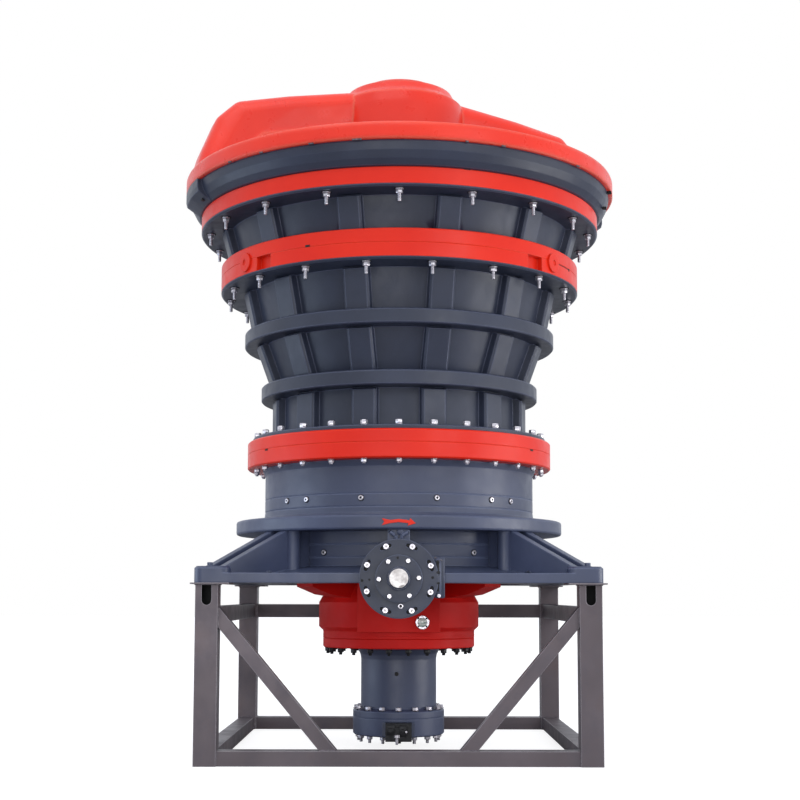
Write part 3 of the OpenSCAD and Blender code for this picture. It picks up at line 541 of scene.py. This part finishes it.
def liner_bolts():
    """Flush bolts that hold the bottom shell's liner, in countersinks drawn as painted shade, front and
    back.
    """
    shape = Shape()
    head = [(0.0185, 0.002), (0.0185, 0.008), (0.015, 0.011), (0.0085, 0.011), (0.0085, 0.006)]
    # Radius, height and turns of each row on the front
    rows = [(BARREL_R, 1.790, [-52, -40, -15, 15, 40, 52]), (PANEL_R, 1.415, [-31.5, 31.5])]
    for radius, z, turns in rows:
        for turn in turns + [180 - t for t in turns]:
            place = wall_place(turn, radius, z)
            # Painted shade: a near-black disc for the countersink round each head.
            washer(shape, place, SHADE, radius=0.023, height=0.003)
            shape.turned(head, ZINC, spun(place), sides=16)
            # Painted shade in the head's recess.
            shape.turned([(0.008, 0.0055), (0.008, 0.0065)], SHADE, place, sides=12)
    shape.piece("liner_bolts")


def hub_screws():
    """Black screws under the hub's bottom plate."""
    shape = Shape()
    circle, washer_h = 0.535, 0.005
    for turn in ring_of(24, 7.5):
        place = round_place(turn, circle, LOW["hub_bottom_plate"].z, down=True)
        washer(shape, place, OXIDE, radius=0.026, height=washer_h)
        hex_nut(shape, place, OXIDE, flats=0.040, height=0.026, base=washer_h)
        thread(shape, place, OXIDE, radius=0.013, base=0.028, top=0.048)
    shape.piece("hub_screws")


def cylinder_bolts():
    """Bolts of the cylinder's cover: heads over the lower flange, studs and nuts below the cover."""
    shape = Shape()
    head_circle, stud_circle = 0.314, 0.300
    # No stud this many degrees either side of the front, behind the valve block
    bare = 12
    for turn in ring_of(16):
        top = round_place(turn, head_circle, CYLINDER_STEP_Z)
        # Painted shadow: a thin near-black disc under each bolt's washer.
        washer(shape, top, SHADE, radius=0.030, height=0.002)
        hex_bolt(shape, top, ZINC, flats=0.038, height=0.022, washer_r=0.0235)
        if abs((turn + 180) % 360 - 180) < bare:
            continue
        under = round_place(turn, stud_circle, LOW["cylinder_cover"].z, down=True)
        hex_nut(shape, under, ZINC, flats=0.040, height=0.024)
        thread(shape, under, ZINC, radius=0.0125, base=0.022, top=0.050)
    shape.piece("cylinder_bolts")


# ---------------------------------------------------------------- bearing housing

def slot_outline(turn, radius, half, reach):
    """The outline of a curved slot about the origin: half its width, and its reach each way as a turn."""
    def at(r, a):
        return r * math.cos(math.radians(a)), r * math.sin(math.radians(a))
    # Nine points along each side, and five round each end
    points = [at(radius + half, turn - reach + reach * k / 4) for k in range(9)]
    for side, first in ((1, 0), (-1, 180)):
        if side < 0:
            points += [at(radius - half, turn + reach - reach * k / 4) for k in range(9)]
        x, y = at(radius, turn + side * reach)
        for k in range(1, 6):
            a = math.radians(turn + first + 30 * k)
            points.append((x + half * math.cos(a), y + half * math.sin(a)))
    return points


def housing_screws():
    """Socket screws in the housing's slots, screws of the cover, and the plugs beside them."""
    shape = Shape()
    slot_circle, cover_circle = 0.226, 0.131
    for k in range(8):
        turn = 22.5 + 45 * k
        # Each screw sits a little off the middle of its slot
        place = around_shaft(slot_circle, turn - 0.6, FLANGE_Y + 0.006)
        socket_screw(shape, place, ZINC, BRIGHT, diameter=0.038, height=0.030, key=0.014)
        outline = slot_outline(turn, slot_circle, half=0.0121, reach=7)
        # Painted shade: a near-black plate at the bottom of each slot.
        shape.slab(outline, -0.012, -0.010, SHADE, front_place(0, FLANGE_Y, AXIS_Z))
    for k in range(6):
        place = around_shaft(cover_circle, 2 + 60 * k, COVER_Y)
        washer(shape, place, OXIDE, radius=0.0165, height=0.002)
        hex_nut(shape, place, ZINC, flats=0.029, height=0.016, base=0.002)
    # Dark plugs: across, face, over the shaft's axis, radius
    plugs = [(-0.007, COVER_Y, 0.135, 0.007), (0.222, FLANGE_Y, 0.007, 0.008),
             (-0.241, FLANGE_Y, -0.013, 0.008), (-0.193, FLANGE_Y, -0.007, 0.006)]
    for x, y, z, r in plugs:
        rings = [(r * 1.15, 0), (r * 1.15, 0.0015), (r, 0.0022), (r * 0.7, 0.0022)]
        shape.turned(rings, SHADE, front_place(x, y, AXIS_Z + z), sides=16)
    # A bright plug below the shaft, with painted shade for its bore
    place = front_place(0.012, FLANGE_Y, AXIS_Z - 0.180)
    shape.turned([(0.017, 0), (0.017, 0.004), (0.014, 0.006), (0.010, 0.006), (0.010, 0.002)], ZINC, place)
    shape.turned([(0.0098, 0.0015), (0.0098, 0.003)], SHADE, place)
    shape.piece("housing_screws")


def shaft_seal():
    """The seal's raised ring round the shaft, painted with its cover."""
    shape = Shape()
    rings = [(0.0795, 0), (0.0795, 0.003), (0.0765, 0.006), (0.0725, 0.006), (0.0725, 0)]
    shape.turned(rings, DARK, front_place(0, COVER_Y, AXIS_Z), sides=48)
    shape.piece("shaft_seal")


def shaft_collar():
    """A dark painted ring on the shaft's shoulder, round its free end."""
    shape = Shape()
    section = [(0.0615, 0.0005), (0.0715, 0.0005), (0.0715, 0.005),
               (0.070, 0.007), (0.0625, 0.007), (0.0615, 0.006)]
    shape.hoop(section, DARK, front_place(0, COVER_Y - 0.010, AXIS_Z), sides=64)
    shape.piece("shaft_collar", "countershaft")


def housing_bracket():
    """The cast bracket beside the housing, with a dark bar, three black fittings and a drain."""
    shape = Shape()
    y = FLANGE_Y + 0.030
    # Body, panel and bar, each from and to: across, back from the face, and up from the axis
    blocks = [(0.236, 0.304, 0, 0.060, -0.128, 0.138, DARK, 0.012),
              (0.238, 0.274, -0.010, 0.010, -0.118, 0.128, DARK, 0.005),
              (0.246, 0.266, -0.014, 0, -0.085, 0.120, OXIDE, 0.003)]
    for x0, x1, y0, y1, z0, z1, finish, chamfer in blocks:
        shape.block((x0, y + y0, AXIS_Z + z0), (x1, y + y1, AXIS_Z + z1), finish, chamfer)
    # Height from the axis and size of each fitting
    for z, r in ((0.110, 0.013), (0.040, 0.017), (-0.030, 0.015)):
        place = front_place(0.256, y - 0.012, AXIS_Z + z)
        hex_nut(shape, place, OXIDE, flats=1.7 * r, height=0.012)
        shape.turned([(0.5 * r, 0.010), (0.5 * r, 0.018), (0.35 * r, 0.020)], OXIDE, place, sides=14)
    drain = front_place(0.265, y - 0.010, AXIS_Z - 0.112)
    hex_nut(shape, drain, ZINC, flats=0.022, height=0.010)
    shape.turned([(0.006, 0.008), (0.006, 0.017), (0.004, 0.019)], ZINC, drain, sides=14)
    for x, z in ((0.240, 0.142), (0.276, 0.126)):
        run = [(x - 0.008, y - 0.006, AXIS_Z + z), (x + 0.010, y - 0.006, AXIS_Z + z - 0.008)]
        shape.bead(run, BEAD, radius=0.005)
    shape.piece("housing_bracket")


# ---------------------------------------------------------------- small details on the castings

def seam_slot_shades():
    """Painted shade: thin near-black plates on the flanges for the jacking slots in the seams, between the
    flanges of the three joints.
    """
    shape = Shape()
    proud = 0.001
    low_r = HIGH["bottom_flange"].x + proud
    mid_r = HIGH["mid_joint_flange"].x
    top_r = HIGH["top_joint_flange"].x + proud
    low_z, mid_z, top_z = LOW["low_joint_flange"].z, LOW["upper_mid_flange"].z, HIGH["top_joint_flange"].z
    for turn in (-56, 56, 124, -124):
        shape.arc_plate(SHADE, low_r, low_z - 0.014, low_z - 0.001, turn, span=2.0)
    for turn in (-27.5, 152.5):
        shape.arc_plate(SHADE, mid_r + proud, mid_z, mid_z + 0.014, turn, span=1.5)
    # Painted shade for a long narrow gap just under the middle seam, with a round end
    gap_low, gap_high, gap_span = 3.493, 3.4985, 10.6
    for turn in (60.3, 240.3):
        shape.arc_plate(SHADE, mid_r + proud, gap_low, gap_high, turn, gap_span, steps=10)
        end = wall_place(turn + gap_span / 2, mid_r, 3.494)
        shape.turned([(0.011, -0.004), (0.011, 0.0015)], SHADE, end, sides=16)
    for turn in (17.5, 197.5):
        shape.arc_plate(SHADE, top_r, top_z - 0.006, top_z + 0.006, turn, span=1.6)
    shape.piece("seam_slot_shades")


def rim_marks():
    """Welded lumps under the rim's band, and near-black patches of painted shade for the dark slots in the
    blocks at the arms' roots.
    """
    shape = Shape()
    lump_r = 1.632
    # Turn and span of each lump
    lumps = ((-46.5, 1.2), (-35.4, 1.0), (-21.3, 1.4), (-10, 2.4), (16, 0.8), (25.4, 1.2), (50.3, 1.4))
    for turn, span in lumps:
        path = []
        for k in range(5):
            a = math.radians(turn + span * (k / 4 - 0.5))
            path.append((lump_r * math.sin(a), -lump_r * math.cos(a), RIM_BAND_Z - 0.002))
        shape.bead(path, BEAD, radius=0.007, step=0.010)
    # Turn, lower edge and radius of each patch of painted shade
    slot_shades = ((-66, 3.990, 1.585), (75, 4.112, 1.642), (76, 4.004, 1.600),
              (114, 3.990, 1.585), (255, 4.112, 1.642), (256, 4.004, 1.600))
    for turn, z, radius in slot_shades:
        shape.arc_plate(SHADE, radius, z, z + 0.016, turn, span=1.3, depth=0.03)
    shape.piece("rim_marks")


def corner_columns():
    """Half-round columns between the gussets' inner ends and the disc, with weld runs at their feet."""
    shape = Shape()
    column_x, column_y = 0.736, 0.884
    weld_half = 0.016
    rings = [(0.062, 1.262), (0.060, 1.280), (0.051, 1.292), (0.049, 1.548), (0.053, 1.5615)]
    for sx, sy in CORNERS:
        place = Matrix.Translation((sx * column_x, sy * column_y, 0))
        shape.turned(rings, DARK_LIT_LOW, place, sides=32)
        for x, y in ((0.815, 0.965), (0.890, 1.040)):
            run = [(sx * (x - weld_half), sy * (y - weld_half), 1.278),
                   (sx * (x + weld_half), sy * (y + weld_half), 1.272)]
            shape.bead(run, DARK_LIT_LOW, radius=0.010, step=0.005)
    shape.piece("corner_columns")


def neck_web():
    """Ridges that run together down the neck between the disc and the bearing housing."""
    shape = Shape()
    y = -NECK_FACE
    for s in (-1, 1):
        ridge = [(s * 0.070, y - 0.002, 1.556), (s * 0.052, y - 0.010, 1.538),
                 (s * 0.022, y - 0.012, 1.516), (s * 0.016, y - 0.010, 1.494)]
        shape.bead(ridge, DARK_LIT_LOW, radius=0.013, ripple=0.08, sides=10, step=0.006)
    knob = front_place(0.010, y, 1.545)
    shape.turned([(0.026, -0.004), (0.024, 0.008), (0.014, 0.014)], DARK_LIT_LOW, knob, sides=20)
    shape.piece("neck_web")


def hub_lines():
    """Fine steps round the foot of the hub, and a round plug in the hydraulic cylinder."""
    shape = Shape()
    inside, outside = HIGH["hub_bottom_plate"].x - 0.004, HIGH["hub_bottom_plate"].x + 0.0015
    half = 0.0015
    for z in (0.852, 0.825, 0.806):
        section = [(inside, z - half), (outside, z - half), (outside, z + half), (inside, z + half)]
        shape.hoop(section, HUB_RED)
    plug = wall_place(-3, 0.283, 0.543)
    shape.turned([(0.015, -0.003), (0.015, 0.003), (0.012, 0.005), (0.006, 0.005)], SHADE, plug)
    shape.piece("hub_lines")


def valve_fittings():
    """Black housings, zinc plugs and a hose adapter on the front of the valve block."""
    shape = Shape()
    y = LOW["valve_block"].y
    top = HIGH["valve_block"].z
    shape.block((-0.088, y - 0.012, top - 0.080), (-0.026, y + 0.030, top - 0.006), OXIDE, chamfer=0.006)
    shape.block((0.004, y - 0.006, top - 0.092), (0.058, y + 0.030, top - 0.014), OXIDE, chamfer=0.005)
    left_cap = front_place(-0.057, y - 0.012, top - 0.045)
    shape.turned([(0.019, 0), (0.019, 0.012), (0.016, 0.016), (0.008, 0.016)], OXIDE, left_cap)
    right_cap = front_place(0.031, y - 0.006, top - 0.050)
    shape.turned([(0.014, 0), (0.014, 0.010), (0.010, 0.013)], OXIDE, right_cap)
    # Place across, height and size of each plug
    for x, z, r in ((0.028, 0.145, 0.008), (0.056, 0.139, 0.008), (-0.058, 0.163, 0.006)):
        hex_nut(shape, front_place(x, y - 0.006, z), ZINC, flats=1.8 * r, height=0.012)
    adapter = Matrix.Translation((-0.012, y - 0.010, 0.118)) @ Matrix.Rotation(math.pi, 4, "X")
    hex_nut(shape, adapter, ZINC, flats=0.036, height=0.022)
    thread(shape, adapter, ZINC, radius=0.011, base=0.020, top=0.070)
    shape.piece("valve_fittings")


def sight_glass():
    """The window's flange with four dark screws round the pane."""
    low, high = LOW["sight_port"], HIGH["sight_port"]
    x, z = (low.x + high.x) / 2, (low.z + high.z) / 2
    centre = front_place(x, low.y, z)
    screw_circle, screw_seat = 0.0405, low.y - 0.007
    shape = Shape()
    flange = [(0.049, -0.002), (0.049, 0.004), (0.046, 0.007), (0.034, 0.007), (0.033, 0.002)]
    shape.turned(flange, ZINC, centre, sides=40)
    shape.turned([(0.033, 0.0015), (0.033, 0.004), (0.031, 0.005)], GLASS, centre, sides=40)
    for k in range(4):
        a = math.radians(45 + 90 * k)
        place = front_place(x + screw_circle * math.cos(a), screw_seat, z + screw_circle * math.sin(a))
        shape.turned([(0.0065, 0), (0.0065, 0.002), (0.0055, 0.003)], SHADE, place, sides=12)
    shape.piece("sight_glass")


def foot_bolts():
    """One hexagon bolt in each foot, down into its post."""
    shape = Shape()
    bolt_c, foot_top = 1.262, 1.310
    for sx, sy in CORNERS:
        place = Matrix.Translation((sx * bolt_c, sy * bolt_c, foot_top))
        hex_bolt(shape, place, DARK_LIT_LOW, flats=0.036, height=0.022, washer_r=0.026)
    shape.piece("foot_bolts")


def post_shade_plates():
    """Painted shade: near-black plates on the inner walls of the front posts, behind their slots."""
    shape = Shape()
    half, front, back = 0.056, -1.212, -1.206
    for s in (-1, 1):
        shape.block((s * POST_C - half, front, 1.000), (s * POST_C + half, back, 1.184), SHADE)
    shape.piece("post_shade_plates")


def stand_welds():
    """Beads where the beams and braces meet the posts, and round the posts' tops."""
    shape = Shape()
    inner, beam_half = POST_C - POST_HALF, 0.060
    base_h = HIGH["stand_base_beams"].z
    top_beam = LOW["stand_top_beams"].z, HIGH["stand_top_beams"].z
    near, far = -POST_C - beam_half, -POST_C + beam_half
    for turn in (0, 90, 180, 270):
        spin = Matrix.Rotation(math.radians(turn), 4, "Z")
        # The front has no top beam
        rows = [(0.004, base_h), top_beam] if turn else [(0.004, base_h)]
        for s in (-1, 1):
            for z0, z1 in rows:
                loop = [(near, z0), (near, z1), (far, z1), (far, z0)]
                shape.bead([spin @ Vector((s * inner, y, z)) for y, z in loop], BEAD)
    brace_y, foot_z = -POST_C - 0.045, base_h + 0.002
    for s in (-1, 1):
        shape.bead([(s * 0.405, brace_y, foot_z), (s * 0.522, brace_y, foot_z)], BEAD)
        shape.bead([(s * inner, brace_y, 1.043), (s * inner, brace_y, 0.906)], BEAD)
    reach, post_top = 0.077, 1.188
    for sx, sy in CORNERS:
        c = Vector((sx * POST_C, sy * POST_C, post_top))
        square = [c + Vector((dx * reach, dy * reach, 0)) for dx, dy in
                  ((-1, -1), (1, -1), (1, 1), (-1, 1), (-1, -1))]
        shape.bead(square, BEAD, radius=0.005)
    shape.piece("stand_welds")


for build in (low_joint_bolts, hanging_studs, liner_bolts, hub_screws, cylinder_bolts, housing_screws,
              shaft_seal, shaft_collar, housing_bracket, seam_slot_shades, rim_marks, corner_columns, neck_web,
              hub_lines, valve_fittings, sight_glass, foot_bolts, post_shade_plates, stand_welds):
    build()


# ---------------------------------------------------------------- studio

def floor():
    """A pale floor that reads as white to the camera and keeps the object's shadow."""
    f = Finish("pale_floor", Metallic=0, Specular_IOR_Level=0.2)
    tone = f.mix(f.ramp(f.noise(0.8, 3, 0.5), 0.3, 0.7), srgb(150, 150, 153), srgb(158, 158, 160))
    f.surface(tone, f.ramp(f.noise(3, 3, 0.5), 0.3, 0.7, 0.7, 0.85), [])
    glow = f.node("Emission", Color=(1, 1, 1, 1), Strength=0.84)
    seen = f.node("LightPath").outputs["Is Camera Ray"]
    share = f.node("MixShader")
    add = f.node("AddShader")
    out = f.tree.nodes["Material Output"]
    f.link(f.shader.outputs["BSDF"], add.inputs[0])
    f.link(glow.outputs["Emission"], add.inputs[1])
    f.link(seen, share.inputs["Fac"])
    f.link(f.shader.outputs["BSDF"], share.inputs[1])
    f.link(add.outputs["Shader"], share.inputs[2])
    f.link(share.outputs["Shader"], out.inputs["Surface"])
    mesh = bpy.data.meshes.new("studio_floor")
    half = 60
    corners = [(-half, -half, 0), (half, -half, 0), (half, half, 0), (-half, half, 0)]
    mesh.from_pydata(corners, [], [(0, 1, 2, 3)])
    mesh.materials.append(f.material)
    obj = bpy.data.objects.new("studio_floor", mesh)
    bpy.context.scene.collection.objects.link(obj)


def sky():
    """White to the camera, and a soft pale light to everything else."""
    world = bpy.data.worlds.new("studio")
    bpy.context.scene.world = world
    world.use_nodes = True
    tree = world.node_tree
    light = tree.nodes["Background"]
    light.inputs["Color"].default_value = (0.90, 0.94, 1.0, 1)
    light.inputs["Strength"].default_value = 1.0
    white = tree.nodes.new("ShaderNodeBackground")
    white.inputs["Color"].default_value = (1, 1, 1, 1)
    white.inputs["Strength"].default_value = 1
    path = tree.nodes.new("ShaderNodeLightPath")
    share = tree.nodes.new("ShaderNodeMixShader")
    tree.links.new(path.outputs["Is Camera Ray"], share.inputs["Fac"])
    tree.links.new(light.outputs["Background"], share.inputs[1])
    tree.links.new(white.outputs["Background"], share.inputs[2])
    tree.links.new(share.outputs["Shader"], tree.nodes["World Output"].inputs["Surface"])


def lamp(name, place, target, size, power, colour=(1, 1, 1)):
    """A soft rectangular lamp at place, turned to target."""
    data = bpy.data.lights.new(name, "AREA")
    data.shape = "RECTANGLE"
    data.size, data.size_y = size
    data.energy = power
    data.color = colour
    obj = bpy.data.objects.new(name, data)
    obj.location = place
    obj.rotation_euler = (Vector(target) - Vector(place)).to_track_quat("-Z", "Y").to_euler()
    bpy.context.scene.collection.objects.link(obj)


def camera():
    """At the photograph's angle: low in front, tilted up 5.5 degrees."""
    data = bpy.data.cameras.new("camera")
    data.lens = 62.04
    data.sensor_width = 36
    data.shift_x = 0.00125
    data.shift_y = 0.0778
    data.clip_end = 200
    obj = bpy.data.objects.new("camera", data)
    obj.location = (0, -10.5, 1.12)
    tilt = Matrix.Rotation(math.radians(95.5), 4, "X") @ Matrix.Rotation(math.radians(0.1), 4, "Z")
    obj.rotation_euler = tilt.to_euler()
    bpy.context.scene.collection.objects.link(obj)
    bpy.context.scene.camera = obj


floor()
sky()
lamp("key_right", place=(8.0, -2.2, 1.5), target=(0, 0, 1.3), size=(5.5, 2.6), power=240)
lamp("front_right", place=(5.5, -9.0, 4.6), target=(0, 0, 2.8), size=(4, 4), power=150)
lamp("front_low", place=(-1.5, -11.5, 1.0), target=(0, 0, 1.0), size=(6, 1.6), power=160)
lamp("fill_left", place=(-8.0, -1.0, 1.4), target=(0, 0, 1.3), size=(5.5, 2.4), power=130,
     colour=(0.66, 0.80, 1.0))
lamp("top", place=(-1.5, -4.5, 10.5), target=(0, 0, 4), size=(7, 6), power=200)
camera()
bpy.context.scene.view_settings.view_transform = "Standard"
